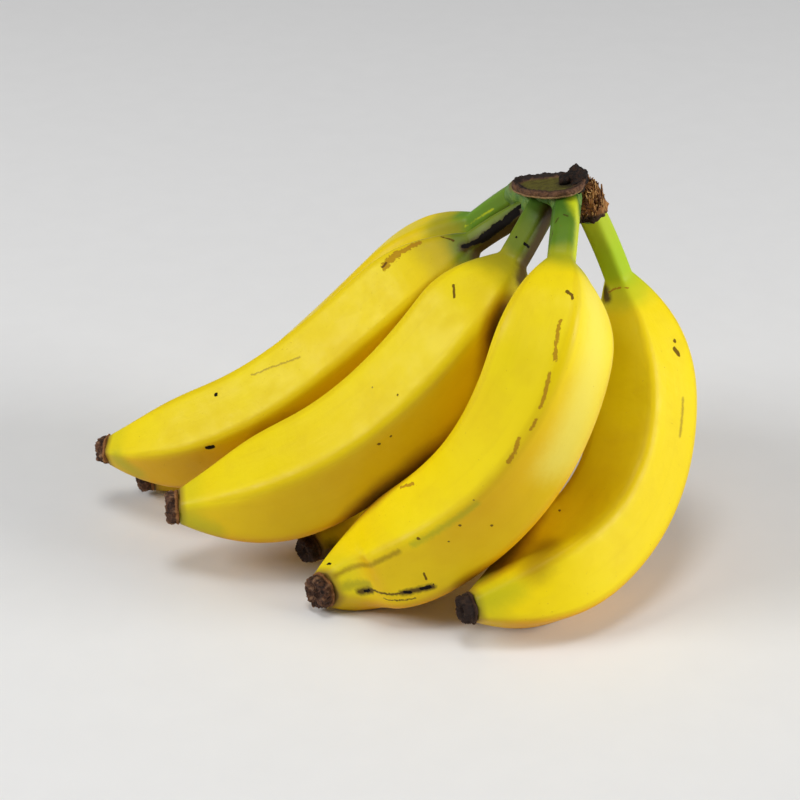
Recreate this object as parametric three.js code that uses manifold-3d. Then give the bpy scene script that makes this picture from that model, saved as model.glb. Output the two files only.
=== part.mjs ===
// A bunch of six ripe bananas that stands on its own fruit with the crown up.
// Millimetres, +Z up. The origin is on the table, under the middle of the bunch.
import * as THREE from 'three';
import { mergeVertices } from 'three/addons/utils/BufferGeometryUtils.js';
import Module from 'manifold-3d';

const wasm = await Module();
wasm.setup();

// ---- Driving dimensions ----

const GAP = 0.3;              // clearance between a fruit and the crown or its blossom end
const PEEL_FACES = 5;         // a banana is five-sided, with rounded ridges
const STATIONS = 30;          // rings along one fruit
const AROUND = 20;            // points round one ring, four to a face

const NECK_SHARPNESS = 6.5;   // exponent of the rounded pentagon: higher is more angular
const BODY_SHARPNESS = 14;
const TIP_SHARPNESS = 8;
const NECK_END = 22;          // along the fruit, where the neck starts to turn into the body
const BODY_START = 50;        // along the fruit, where the ridges are at their sharpest
const TIP_BLEND = [40, 6];    // from the blossom end, where the ridges soften again
const FULLNESS = 1.6;         // how full the shoulder and the taper are: higher is fuller
const LEAN_REACH = 16;        // from the blossom end, where the end starts to lean over

// One row for each fruit. path: the Bezier points of its middle line, from the crown to the
// blossom end. body, neck, tip: half widths across flats. neckLength: the straight neck.
// shoulder: how far the neck takes to swell into the body. taper: how far from the end the body
// starts to narrow. roll: degrees that the ridges are turned by, at the crown and at the end.
// lean: what is added to the direction of the blossom end. stub: where the neck's stub ends
// inside the crown.
const FRUITS = [
  { name: 'fruit_1', path: [[45.5, 33, 125.5], [8.5, 70.5, 84], [-36, 61, 16], [-93, 33, 7]],
    body: 17.5, neck: 4.1, tip: 4.5, neckLength: 24, shoulder: 49, taper: 63, roll: [42, 36],
    lean: [0, 0, 0], stub: [49, 21, 132] },
  { name: 'fruit_2', path: [[50, 14, 128], [1, 30, 96], [-30, 3, 34], [-106, 25, 24]],
    body: 16.7, neck: 4.1, tip: 5.1, neckLength: 25, shoulder: 42, taper: 55, roll: [-20, -4],
    lean: [0, 0, 0], stub: [53, 9, 136] },
  { name: 'fruit_3', path: [[54, 8, 131.5], [27, -35.5, 98.5], [-7, -14, 27], [-76, -21, 26]],
    body: 18.7, neck: 5.1, tip: 5.7, neckLength: 23, shoulder: 31, taper: 57, roll: [23, 53],
    lean: [0, 0, 0], stub: [57, 9, 137] },
  { name: 'fruit_4', path: [[61.5, -5, 136.5], [51, -84.5, 112], [58, -34, 35], [-23, -48, 8]],
    body: 18.7, neck: 4.6, tip: 5.9, neckLength: 25, shoulder: 38, taper: 48, roll: [-14, 48],
    lean: [0, -0.7, 0.35], stub: [61, 5, 138] },
  { name: 'fruit_5', path: [[72, 15.5, 125.5], [105.5, 32.5, 54], [101, -39, 16], [29, -70, 15]],
    body: 17.2, neck: 4.8, tip: 4.9, neckLength: 28, shoulder: 51, taper: 51, roll: [5, 21],
    lean: [0, 0, 0], stub: [68, 10, 135] },
  { name: 'fruit_6', path: [[63, 22, 126], [68, 46, 22], [27, 33, 15], [-28, -24, 11]],
    body: 17.2, neck: 4.1, tip: 4.9, neckLength: 26, shoulder: 36, taper: 90, roll: [37, 80],
    lean: [0, 0, 0], stub: [60, 11, 137] },
];

// The dried flower remnant on the end of each fruit.
const BLOSSOM_LENGTH = 4.8;
const BLOSSOM_RINGS = [[0, 0.96], [0.2, 1.06], [0.55, 1.02], [0.85, 0.94], [1, 0.7]];
const BLOSSOM_SIDES = 15;
const BLOSSOM_LOBES = 0.05;          // height of its five lobes, as a share of its width
const BLOSSOM_ROUGHNESS = 0.07;

// The crown: a cut pad over the necks, with a stub for each neck, a dried knob and a torn end.
const PAD_OUTLINE = [[44, 14], [46.5, 6], [51, -1], [56, -6], [62, -8], [66, -5], [67.5, 2],
  [66, 9], [60, 13], [52, 17], [46, 18]];
const PAD_CENTRE = [56, 4];
const PAD_THICKNESS = 2.8;
const PAD_TOP = 142;
const PAD_SLOPE = [0.24, -0.12];     // rise of the pad's top per millimetre of x and of y
const PAD_POINTS = 28;               // points round the pad's rim
const PAD_RIM = [0.9, 1, 0.97];      // the rim's size at the bottom, the middle and the top
const CUT_SCALE = 0.7;               // the cut face, as a share of the pad's outline
const CUT_DEPTH = 1.2;
const NECK_ROOM_REACH = 0.15;        // share of a fruit that its room in the crown takes in
const NECK_ROOM_STEPS = 4;
const STUB_BEND = 6;                 // how far a stub runs straight on from its neck
const STUB_WIDTHS = [1.04, 1.14, 1.3];   // a stub's half widths, as shares of its neck's
const TUBE_SIDES = 12;
const TUBE_STEPS = 4;
const CORES = [
  { centre: [58, 10, 136], radii: [8, 7.5, 4.5] },
  { centre: [48, 21, 132], radii: [5.5, 8, 4.5] },
  { centre: [66, 10, 135], radii: [5.5, 7, 5.5] },
];
const BALL_DETAIL = 2;
const KNOB = { centre: [65.5, 4, 144.5], radius: 4, rough: 0.12 };
const TORN_END = { from: [69, 7, 141.5], to: [72, 14.5, 127.5], radii: [4.2, 6, 5.6] };
const FIBRES = 9;
const FIBRE_LENGTH = 10;
const FIBRE_RADIUS = 1.5;
const FIBRE_SIDES = 5;
const FIBRE_PLACE = [0.35, 0.12];    // how far down the torn end a fibre stands, and its spread
const FIBRE_OFFSET = 0.8;            // share of the torn end's width that it stands out at
const FIBRE_LEAN = 0.35;             // how far it leans outward

const PEEL = new THREE.Color(0xf2d21b);
const STALK = new THREE.Color(0x4a3a1c);
const DRIED = new THREE.Color(0x3a2616);

// ---- Closed meshes and booleans ----

function closedGeometry(positions, indices) {
  const geometry = new THREE.BufferGeometry();
  geometry.setAttribute('position', new THREE.Float32BufferAttribute(positions, 3));
  geometry.setIndex(indices);
  return geometry;
}

function toSolid(source) {
  const bare = source.clone();
  bare.deleteAttribute('normal');
  bare.deleteAttribute('uv');
  const merged = mergeVertices(bare, 1e-4);
  return new wasm.Manifold(new wasm.Mesh({
    numProp: 3,
    vertProperties: new Float32Array(merged.attributes.position.array),
    triVerts: new Uint32Array(merged.index.array),
  }));
}

function toGeometry(solid) {
  const mesh = solid.getMesh();
  return closedGeometry(Array.from(mesh.vertProperties), Array.from(mesh.triVerts));
}

// The largest body alone: pockets that joined pieces seal between them are filled, and loose
// scraps are dropped.
function mainBody(solid) {
  return solid.decompose().sort((one, other) => other.volume() - one.volume())[0];
}

// A skin over rings of points, closed by a fan at each end.
function loft(rings) {
  const sides = rings[0].length;
  const positions = rings.flat().flatMap((point) => point.toArray());
  const indices = [];
  for (let ring = 0; ring + 1 < rings.length; ring += 1) {
    for (let side = 0; side < sides; side += 1) {
      const here = ring * sides + side;
      const next = ring * sides + (side + 1) % sides;
      indices.push(here, next, next + sides, here, next + sides, here + sides);
    }
  }
  for (const [ring, first] of [[0, true], [rings.length - 1, false]]) {
    const centre = positions.length / 3;
    const middle = new THREE.Vector3();
    rings[ring].forEach((point) => middle.addScaledVector(point, 1 / sides));
    positions.push(...middle.toArray());
    for (let side = 0; side < sides; side += 1) {
      const here = ring * sides + side;
      const next = ring * sides + (side + 1) % sides;
      indices.push(centre, first ? next : here, first ? here : next);
    }
  }
  return closedGeometry(positions, indices);
}

// ---- Fruit ----

// Distance from the middle to a rounded pentagon of half width 1 across flats.
function pentagon(angle, sharpness) {
  let sum = 0;
  for (let face = 0; face < PEEL_FACES; face += 1) {
    const toFace = Math.cos(angle - (face * 2 * Math.PI) / PEEL_FACES);
    sum += Math.max(toFace, 0) ** sharpness;
  }
  return sum ** (-1 / sharpness);
}

// Rises from 0 to 1 with a distinct corner at its start and a round end.
function swell(share) {
  const eased = THREE.MathUtils.smoothstep(share, 0, 1);
  return Math.sqrt(1 - (1 - eased) ** FULLNESS);
}

function halfWidth(fruit, along, length) {
  const shoulder = swell((along - fruit.neckLength) / fruit.shoulder);
  const taper = swell((length - along) / fruit.taper);
  return Math.min(
    fruit.neck + (fruit.body - fruit.neck) * shoulder,
    fruit.tip + (fruit.body - fruit.tip) * taper,
  );
}

function sharpnessAt(along, length) {
  const { smoothstep } = THREE.MathUtils;
  const rise = (BODY_SHARPNESS - NECK_SHARPNESS) * smoothstep(along, NECK_END, BODY_START);
  const fall = (BODY_SHARPNESS - TIP_SHARPNESS)
    * smoothstep(along, length - TIP_BLEND[0], length - TIP_BLEND[1]);
  return NECK_SHARPNESS + rise - fall;
}

// The middle line of a fruit, and at any point of it two directions across the fruit:
// outward is the outer side of the bend, sideways is square to it.
function middleLine(fruit) {
  const points = fruit.path.map((point) => new THREE.Vector3(...point));
  const lean = new THREE.Vector3(...fruit.lean);
  const curve = new THREE.CubicBezierCurve3(...points);
  const toMiddle = curve.getPoint(0.5).sub(points[0]);
  const toEnd = points[3].clone().sub(points[0]);
  const bendNormal = toEnd.cross(toMiddle).normalize();
  const across = (t, leaning = 0) => {
    const facing = curve.getTangent(t).addScaledVector(lean, leaning).normalize();
    const sideways = bendNormal.clone().addScaledVector(facing, -bendNormal.dot(facing));
    sideways.normalize();
    return { facing, sideways, outward: sideways.clone().cross(facing) };
  };
  return { curve, across };
}

function ringAt(centre, { sideways, outward }, radiusAt, sides, turn) {
  const ring = [];
  for (let side = 0; side < sides; side += 1) {
    const angle = turn + (side * 2 * Math.PI) / sides;
    const radius = radiusAt(angle, side);
    ring.push(centre.clone()
      .addScaledVector(outward, radius * Math.cos(angle))
      .addScaledVector(sideways, radius * Math.sin(angle)));
  }
  return ring;
}

const TABLE_SIZE = 400;
const table = toSolid(new THREE.BoxGeometry(TABLE_SIZE, TABLE_SIZE, TABLE_SIZE)
  .translate(0, 0, -TABLE_SIZE / 2));

// The peel of one fruit. Where its belly would sink into the table it is pressed flat.
function fruitGeometry(fruit) {
  const { curve, across } = middleLine(fruit);
  const lengths = curve.getLengths(STATIONS);
  const length = lengths[STATIONS];
  const rings = [];
  for (let station = 0; station <= STATIONS; station += 1) {
    const t = station / STATIONS;
    const turn = THREE.MathUtils.degToRad(THREE.MathUtils.lerp(...fruit.roll, t));
    const size = halfWidth(fruit, lengths[station], length);
    const sharpness = sharpnessAt(lengths[station], length);
    const radiusAt = (angle) => size * pentagon(angle - turn, sharpness);
    const near = length - lengths[station];
    const leaning = 1 - THREE.MathUtils.smoothstep(near, 0, LEAN_REACH);
    rings.push(ringAt(curve.getPoint(t), across(t, leaning), radiusAt, AROUND, turn));
  }
  return toGeometry(toSolid(loft(rings)).subtract(table));
}

// ---- Blossom ends ----

// A small repeatable roughness between -1 and 1.
function roughness(seed) {
  const wave = Math.sin(seed * 12.9898) * 43758.5453;
  return (wave - Math.floor(wave)) * 2 - 1;
}

function blossomEnd(fruit, number) {
  const { curve, across } = middleLine(fruit);
  const frame = across(1, 1);
  const start = curve.getPoint(1).addScaledVector(frame.facing, GAP);
  const rings = BLOSSOM_RINGS.map(([share, width], index) => {
    const centre = start.clone().addScaledVector(frame.facing, share * BLOSSOM_LENGTH);
    const radiusAt = (angle, side) => {
      const lobes = BLOSSOM_LOBES * Math.cos(PEEL_FACES * angle);
      const rough = BLOSSOM_ROUGHNESS * roughness(number * 97 + index * 31 + side);
      return fruit.tip * width * (1 + lobes + (index === 0 ? 0 : rough));
    };
    return ringAt(centre, frame, radiusAt, BLOSSOM_SIDES, 0);
  });
  return loft(rings);
}

// ---- Crown ----

// A round bar along a curve, through the given radii.
function tube(curve, radii) {
  const frames = curve.computeFrenetFrames(TUBE_STEPS, false);
  const rings = [];
  for (let step = 0; step <= TUBE_STEPS; step += 1) {
    const t = step / TUBE_STEPS;
    const place = t * (radii.length - 1);
    const index = Math.min(Math.floor(place), radii.length - 2);
    const radius = THREE.MathUtils.lerp(radii[index], radii[index + 1], place - index);
    const frame = { outward: frames.normals[step], sideways: frames.binormals[step] };
    rings.push(ringAt(curve.getPointAt(t), frame, () => radius, TUBE_SIDES, 0));
  }
  return toSolid(loft(rings));
}

// Each neck runs on into the crown as a short stub that widens.
function crownStub(fruit) {
  const { curve, across } = middleLine(fruit);
  const back = across(0).facing.negate();
  const root = curve.getPoint(0);
  const line = new THREE.QuadraticBezierCurve3(
    root.clone().addScaledVector(back, GAP),
    root.clone().addScaledVector(back, STUB_BEND),
    new THREE.Vector3(...fruit.stub),
  );
  return tube(line, STUB_WIDTHS.map((share) => share * fruit.neck));
}

// The room that a neck takes at the crown: the neck, grown by the gap on every side.
function neckRoom(fruit) {
  const { curve, across } = middleLine(fruit);
  const length = curve.getLength();
  const rings = [];
  for (let step = 0; step <= NECK_ROOM_STEPS; step += 1) {
    const t = (step / NECK_ROOM_STEPS) * NECK_ROOM_REACH;
    const frame = across(t);
    const centre = curve.getPoint(t);
    if (step === 0) centre.addScaledVector(frame.facing, -GAP);
    const size = halfWidth(fruit, t * length, length) + GAP;
    const turn = THREE.MathUtils.degToRad(fruit.roll[0]);
    const radiusAt = (angle) => size * pentagon(angle - turn, NECK_SHARPNESS);
    rings.push(ringAt(centre, frame, radiusAt, AROUND, turn));
  }
  return toSolid(loft(rings));
}

function padSlab(scale, bottom, top) {
  const outline = PAD_OUTLINE.map(([x, y]) => new THREE.Vector3(
    (x - PAD_CENTRE[0]) * scale, (y - PAD_CENTRE[1]) * scale, 0,
  ));
  const rim = new THREE.CatmullRomCurve3(outline, true).getPoints(PAD_POINTS).slice(0, -1);
  const rings = PAD_RIM.map((grow, index) => {
    const height = THREE.MathUtils.lerp(bottom, top, index / (PAD_RIM.length - 1));
    return rim.map((point) => new THREE.Vector3(point.x * grow, point.y * grow, height));
  });
  const slab = loft(rings);
  const normal = new THREE.Vector3(-PAD_SLOPE[0], -PAD_SLOPE[1], 1).normalize();
  const tilt = new THREE.Quaternion().setFromUnitVectors(new THREE.Vector3(0, 0, 1), normal);
  slab.applyQuaternion(tilt);
  slab.translate(PAD_CENTRE[0], PAD_CENTRE[1], PAD_TOP);
  return toSolid(slab);
}

function ball() {
  const sphere = new THREE.IcosahedronGeometry(1, BALL_DETAIL);
  return mergeVertices(sphere.deleteAttribute('normal').deleteAttribute('uv'), 1e-4);
}

function core({ centre, radii }) {
  return toSolid(ball().scale(...radii).translate(...centre));
}

function knob() {
  const lump = ball();
  const place = lump.attributes.position;
  for (let index = 0; index < place.count; index += 1) {
    const point = new THREE.Vector3().fromBufferAttribute(place, index);
    const radius = KNOB.radius * (1 + KNOB.rough * roughness(index + 5));
    point.multiplyScalar(radius);
    place.setXYZ(index, point.x, point.y, point.z);
  }
  lump.translate(...KNOB.centre);
  return toSolid(lump);
}

// The torn end above the fifth fruit: a tapering lump with stiff fibres standing out of it.
function tornEnd() {
  const from = new THREE.Vector3(...TORN_END.from);
  const to = new THREE.Vector3(...TORN_END.to);
  let lump = tube(new THREE.LineCurve3(from, to), TORN_END.radii);
  const down = to.clone().sub(from).normalize();
  const side = new THREE.Vector3(0, 1, 0).cross(down).normalize();
  const front = down.clone().cross(side);
  for (let count = 0; count < FIBRES; count += 1) {
    const angle = (count / FIBRES) * 2 * Math.PI;
    const outward = side.clone().multiplyScalar(Math.cos(angle))
      .addScaledVector(front, Math.sin(angle));
    const share = FIBRE_PLACE[0] + FIBRE_PLACE[1] * roughness(count + 40);
    const middle = from.clone().lerp(to, share);
    middle.addScaledVector(outward, TORN_END.radii[1] * FIBRE_OFFSET);
    const lean = down.clone().negate().addScaledVector(outward, FIBRE_LEAN).normalize();
    const fibre = new THREE.ConeGeometry(FIBRE_RADIUS, FIBRE_LENGTH, FIBRE_SIDES);
    fibre.applyQuaternion(
      new THREE.Quaternion().setFromUnitVectors(new THREE.Vector3(0, 1, 0), lean),
    );
    fibre.translate(...middle.toArray());
    lump = lump.add(toSolid(fibre));
  }
  return lump;
}

function crownGeometry() {
  let crown = padSlab(1, -PAD_THICKNESS, 0);
  crown = crown.subtract(padSlab(CUT_SCALE, -CUT_DEPTH, CUT_DEPTH));
  CORES.forEach((lump) => { crown = crown.add(core(lump)); });
  FRUITS.forEach((fruit) => { crown = crown.add(crownStub(fruit)); });
  crown = crown.add(knob());
  crown = crown.add(tornEnd());
  FRUITS.forEach((fruit) => { crown = crown.subtract(neckRoom(fruit)); });
  return toGeometry(mainBody(crown));
}

// ---- The bunch ----

const peelMaterial = new THREE.MeshStandardMaterial({ color: PEEL, roughness: 0.45 });
const crownMaterial = new THREE.MeshStandardMaterial({ color: STALK, roughness: 0.85 });
const driedMaterial = new THREE.MeshStandardMaterial({ color: DRIED, roughness: 0.95 });

function piece(name, geometry, material) {
  const mesh = new THREE.Mesh(geometry, material);
  mesh.name = name;
  return mesh;
}

const bunch = new THREE.Group();
bunch.add(piece('crown', crownGeometry(), crownMaterial));
FRUITS.forEach((fruit, index) => {
  bunch.add(piece(fruit.name, fruitGeometry(fruit), peelMaterial));
  bunch.add(piece(`blossom_end_${index + 1}`, blossomEnd(fruit, index + 1), driedMaterial));
});

export default bunch;
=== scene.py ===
"""Looks for the bunch of bananas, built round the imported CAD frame. Metres, +Z up."""

import math

import bpy
import numpy as np
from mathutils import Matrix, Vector, noise
from mathutils.kdtree import KDTree


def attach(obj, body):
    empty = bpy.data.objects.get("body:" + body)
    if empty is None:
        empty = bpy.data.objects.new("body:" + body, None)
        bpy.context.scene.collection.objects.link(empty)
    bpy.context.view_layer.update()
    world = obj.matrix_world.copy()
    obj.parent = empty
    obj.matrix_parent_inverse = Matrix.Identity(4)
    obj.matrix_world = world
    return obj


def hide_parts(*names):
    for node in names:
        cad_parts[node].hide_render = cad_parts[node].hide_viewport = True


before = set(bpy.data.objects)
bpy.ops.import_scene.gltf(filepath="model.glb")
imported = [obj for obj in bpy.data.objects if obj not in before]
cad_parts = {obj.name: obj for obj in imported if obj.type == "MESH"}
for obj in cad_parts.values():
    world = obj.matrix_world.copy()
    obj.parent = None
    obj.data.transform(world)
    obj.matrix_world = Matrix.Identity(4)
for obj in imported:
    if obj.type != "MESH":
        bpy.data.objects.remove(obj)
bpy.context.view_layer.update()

MM = 0.001
STATIONS = 150            # rings along one fruit
AROUND = 100              # points round one ring
FACES = 5                 # a banana is five-sided
SWELL_POWER = 1.6         # how suddenly a fruit swells from its neck or its tip
# How sharp the ridges are, as the power of a rounded pentagon, and where that changes:
# millimetres from the crown for the body, and from the blossom end for the tip.
NECK_SHARPNESS = 6.5
BODY_SHARPNESS = 14.0
TIP_SHARPNESS = 8.0
SHARPENS = (22, 50)
SOFTENS = (40, 6)
RIDGE_RISE = 0.15         # how much further out a ridge is than a flat, as a share
UNDERSIDE_SHADE = (-0.3, 0.6)   # downward part of the normal over which painted shade turns a peel darker gold

# The same driving dimensions as the solids, in millimetres.
FRUITS = {
    "fruit_1": dict(path=((45.5, 33, 125.5), (8.5, 70.5, 84), (-36, 61, 16), (-93, 33, 7)),
                    body=17.5, neck=4.1, tip=4.5, neck_length=24, shoulder=49, taper=63,
                    roll=(42, 36)),
    "fruit_2": dict(path=((50, 14, 128), (1, 30, 96), (-30, 3, 34), (-106, 25, 24)),
                    body=16.7, neck=4.1, tip=5.1, neck_length=25, shoulder=42, taper=55,
                    roll=(-20, -4)),
    "fruit_3": dict(path=((54, 8, 131.5), (27, -35.5, 98.5), (-7, -14, 27), (-76, -21, 26)),
                    body=18.7, neck=5.1, tip=5.7, neck_length=23, shoulder=31, taper=57,
                    roll=(23, 53)),
    "fruit_4": dict(path=((61.5, -5, 136.5), (51, -84.5, 112), (58, -34, 35), (-23, -48, 8)),
                    body=18.7, neck=4.6, tip=5.9, neck_length=25, shoulder=38, taper=48,
                    roll=(-14, 48), lean=(0, -0.7, 0.35)),
    "fruit_5": dict(path=((72, 15.5, 125.5), (105.5, 32.5, 54), (101, -39, 16), (29, -70, 15)),
                    body=17.2, neck=4.8, tip=4.9, neck_length=28, shoulder=51, taper=51,
                    roll=(5, 21)),
    "fruit_6": dict(path=((63, 22, 126), (68, 46, 22), (27, 33, 15), (-28, -24, 11)),
                    body=17.2, neck=4.1, tip=4.9, neck_length=26, shoulder=36, taper=90,
                    roll=(37, 80)),
}
LEAN_REACH = 26           # from the blossom end, where the end starts to lean over
NECK_ROOT = (1.5, 2.0)    # steps by which a neck is carried back into the crown
CREVICE_SHADE = (1.5, 9.0)      # from where to where painted shade darkens a peel beside the next fruit


# ---- Fruit shape ----

def smoothstep(value, low, high):
    share = np.clip((value - low) / (high - low), 0, 1)
    return share * share * (3 - 2 * share)


def pentagon(angle, sharpness):
    """Distance from the middle to a rounded pentagon of half width 1 across flats."""
    total = 0
    for face in range(FACES):
        to_face = np.maximum(np.cos(angle - face * 2 * math.pi / FACES), 0)
        total = total + to_face ** sharpness
    return total ** (-1 / sharpness)


def swell(share):
    """Rises from 0 to 1 with a distinct corner at its start and a round end."""
    return np.sqrt(1 - (1 - smoothstep(share, 0, 1)) ** SWELL_POWER)


def half_width(fruit, along, length):
    """Half width across flats: the narrower of the neck's swelling and the tip's."""
    shoulder = swell((along - fruit["neck_length"]) / fruit["shoulder"])
    taper = swell((length - along) / fruit["taper"])
    return np.minimum(fruit["neck"] + (fruit["body"] - fruit["neck"]) * shoulder,
                      fruit["tip"] + (fruit["body"] - fruit["tip"]) * taper)


def sharpness_at(along, length):
    rise = (BODY_SHARPNESS - NECK_SHARPNESS) * smoothstep(along, *SHARPENS)
    fall = (BODY_SHARPNESS - TIP_SHARPNESS) * smoothstep(along, length - SOFTENS[0],
                                                         length - SOFTENS[1])
    return NECK_SHARPNESS + rise - fall


def rows_between(table, count):
    """Row places of a table, evenly spread, and the first two columns read there."""
    places = np.linspace(0, len(table) - 1, count)
    columns = [np.interp(places, range(len(table)), [row[column] for row in table])
               for column in range(2)]
    return places, *columns


def unit(vectors):
    return vectors / np.linalg.norm(vectors, axis=-1, keepdims=True)


class Fruit:
    """The middle line of one fruit, and its skin at any place along and round it."""

    def __init__(self, fruit, stations=STATIONS):
        self.fruit = fruit
        self.path = np.array(fruit["path"], float)
        self.t = np.linspace(0, 1, stations + 1)
        self.centre = self.point(self.t)
        steps = np.linalg.norm(np.diff(self.centre, axis=0), axis=1)
        self.along = np.concatenate([[0], np.cumsum(steps)])
        self.length = self.along[-1]
        start, end = self.path[0], self.path[3]
        self.bend_normal = unit(np.cross(end - start, self.point(np.array([0.5]))[0] - start))
        self.tangent, self.sideways, self.outward = self.across(self.t)
        self.turn = np.radians(fruit["roll"][0] + (fruit["roll"][1] - fruit["roll"][0]) * self.t)
        self.root_neck()

    def root_neck(self):
        """Carries the neck straight back into the crown."""
        for back in NECK_ROOT:
            behind = self.centre[0] - back * self.tangent[0]
            self.centre = np.vstack([behind, self.centre])
            self.along = np.concatenate([[self.along[0] - back], self.along])
            self.tangent, self.sideways, self.outward, self.turn = (
                np.concatenate([rows[:1], rows])
                for rows in (self.tangent, self.sideways, self.outward, self.turn))

    def point(self, t):
        t = t[:, None]
        a, b, c, d = self.path
        return ((1 - t) ** 3 * a + 3 * (1 - t) ** 2 * t * b
                + 3 * (1 - t) * t ** 2 * c + t ** 3 * d)

    def across(self, t):
        t = t[:, None]
        a, b, c, d = self.path
        tangent = unit((1 - t) ** 2 * (b - a) + 2 * (1 - t) * t * (c - b) + t ** 2 * (d - c))
        leaning = 1 - smoothstep(self.length - self.along, 0, LEAN_REACH)
        tangent = unit(tangent + leaning[:, None] * np.array(self.fruit.get("lean", (0, 0, 0))))
        normal = self.bend_normal
        sideways = unit(normal - tangent * (tangent @ normal)[:, None])
        return tangent, sideways, np.cross(sideways, tangent)

    def skin(self, around=AROUND):
        """Points of the skin, and the same points on a fruit that is straightened out."""
        phase = np.arange(around) * 2 * math.pi / around
        size = half_width(self.fruit, self.along, self.length)[:, None]
        sharp = sharpness_at(self.along, self.length)[:, None]
        radius = size * pentagon(phase[None, :], sharp)
        angle = self.turn[:, None] + phase[None, :]
        point = (self.centre[:, None, :]
                 + radius[..., None] * (np.cos(angle)[..., None] * self.outward[:, None, :]
                                        + np.sin(angle)[..., None] * self.sideways[:, None, :]))
        along = np.broadcast_to(self.along[:, None], radius.shape)
        straight = np.stack([radius * np.cos(phase), radius * np.sin(phase), along], axis=-1)
        return point, straight


def tube_faces(rings, around):
    """Quads of a skin over rings of points."""
    ring = np.arange(rings - 1)[:, None] * around
    here = ring + np.arange(around)[None, :]
    after = ring + (np.arange(around) + 1)[None, :] % around
    return np.stack([here, after, after + around, here + around], axis=-1).reshape(-1, 4)


def closed_tube(rings, around, first=0):
    """Faces of a skin over rings of points, numbered from the first, closed at both ends."""
    last = first + (rings - 1) * around
    faces = [[first + corner for corner in face] for face in tube_faces(rings, around)]
    faces.append([first + side for side in range(around)][::-1])
    faces.append([last + side for side in range(around)])
    return faces


def new_object(name, points, faces):
    mesh = bpy.data.meshes.new(name)
    mesh.from_pydata([tuple(point) for point in points], [], [tuple(face) for face in faces])
    mesh.validate()
    mesh.update()
    piece = bpy.data.objects.new(name, mesh)
    bpy.context.scene.collection.objects.link(piece)
    return piece


def smooth(piece):
    piece.data.polygons.foreach_set("use_smooth", [True] * len(piece.data.polygons))
    piece.data.update()


def store(piece, name, kind, values):
    """Keeps a value at each point, for a material to read."""
    data = piece.data.attributes.new(name, kind, "POINT")
    data.data.foreach_set("vector" if kind == "FLOAT_VECTOR" else "value",
                          np.ascontiguousarray(values, dtype=np.float32).ravel())


def build_fruit(node, fruit):
    """The peel of one fruit, with what its material reads at each point."""
    shape = Fruit(fruit)
    point, straight = shape.skin()
    rings, around = point.shape[:2]
    points = point.reshape(-1, 3)
    straights = straight.reshape(-1, 3)
    points[:, 2] = np.maximum(points[:, 2], 0)     # pressed flat where it rests
    piece = new_object(node + "_peel", points * MM, closed_tube(rings, around))
    smooth(piece)
    for cap in piece.data.polygons[-2:]:
        cap.use_smooth = False
    store(piece, "straight", "FLOAT_VECTOR", straights)
    store(piece, "from_tip", "FLOAT", shape.length - straights[:, 2])
    size = half_width(fruit, straights[:, 2], shape.length)
    radius = np.hypot(straights[:, 0], straights[:, 1])
    store(piece, "ridge", "FLOAT", np.clip((radius / size - 1) / RIDGE_RISE, 0, 1))
    normals = np.zeros(len(points) * 3)
    piece.data.vertices.foreach_get("normal", normals)
    # Painted shade: how far the peel faces down, which the material turns darker gold.
    store(piece, "under", "FLOAT", smoothstep(-normals[2::3], *UNDERSIDE_SHADE))
    return piece, shape


def paint_crevice_shade(pieces):
    """Marks how close each place on a peel is to the next fruit, from 0, far, to 1, touching, for
    painted shade in the crevices.
    """
    points = [np.array([vertex.co for vertex in piece.data.vertices]) for piece in pieces]
    for index, piece in enumerate(pieces):
        others = np.concatenate(points[:index] + points[index + 1:])
        tree = KDTree(len(others))
        for number, point in enumerate(others):
            tree.insert(point, number)
        tree.balance()
        gaps = np.array([tree.find(point)[2] for point in points[index]]) / MM
        store(piece, "crevice_shade", "FLOAT", 1 - smoothstep(gaps, *CREVICE_SHADE))


# ---- Material helpers ----

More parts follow.
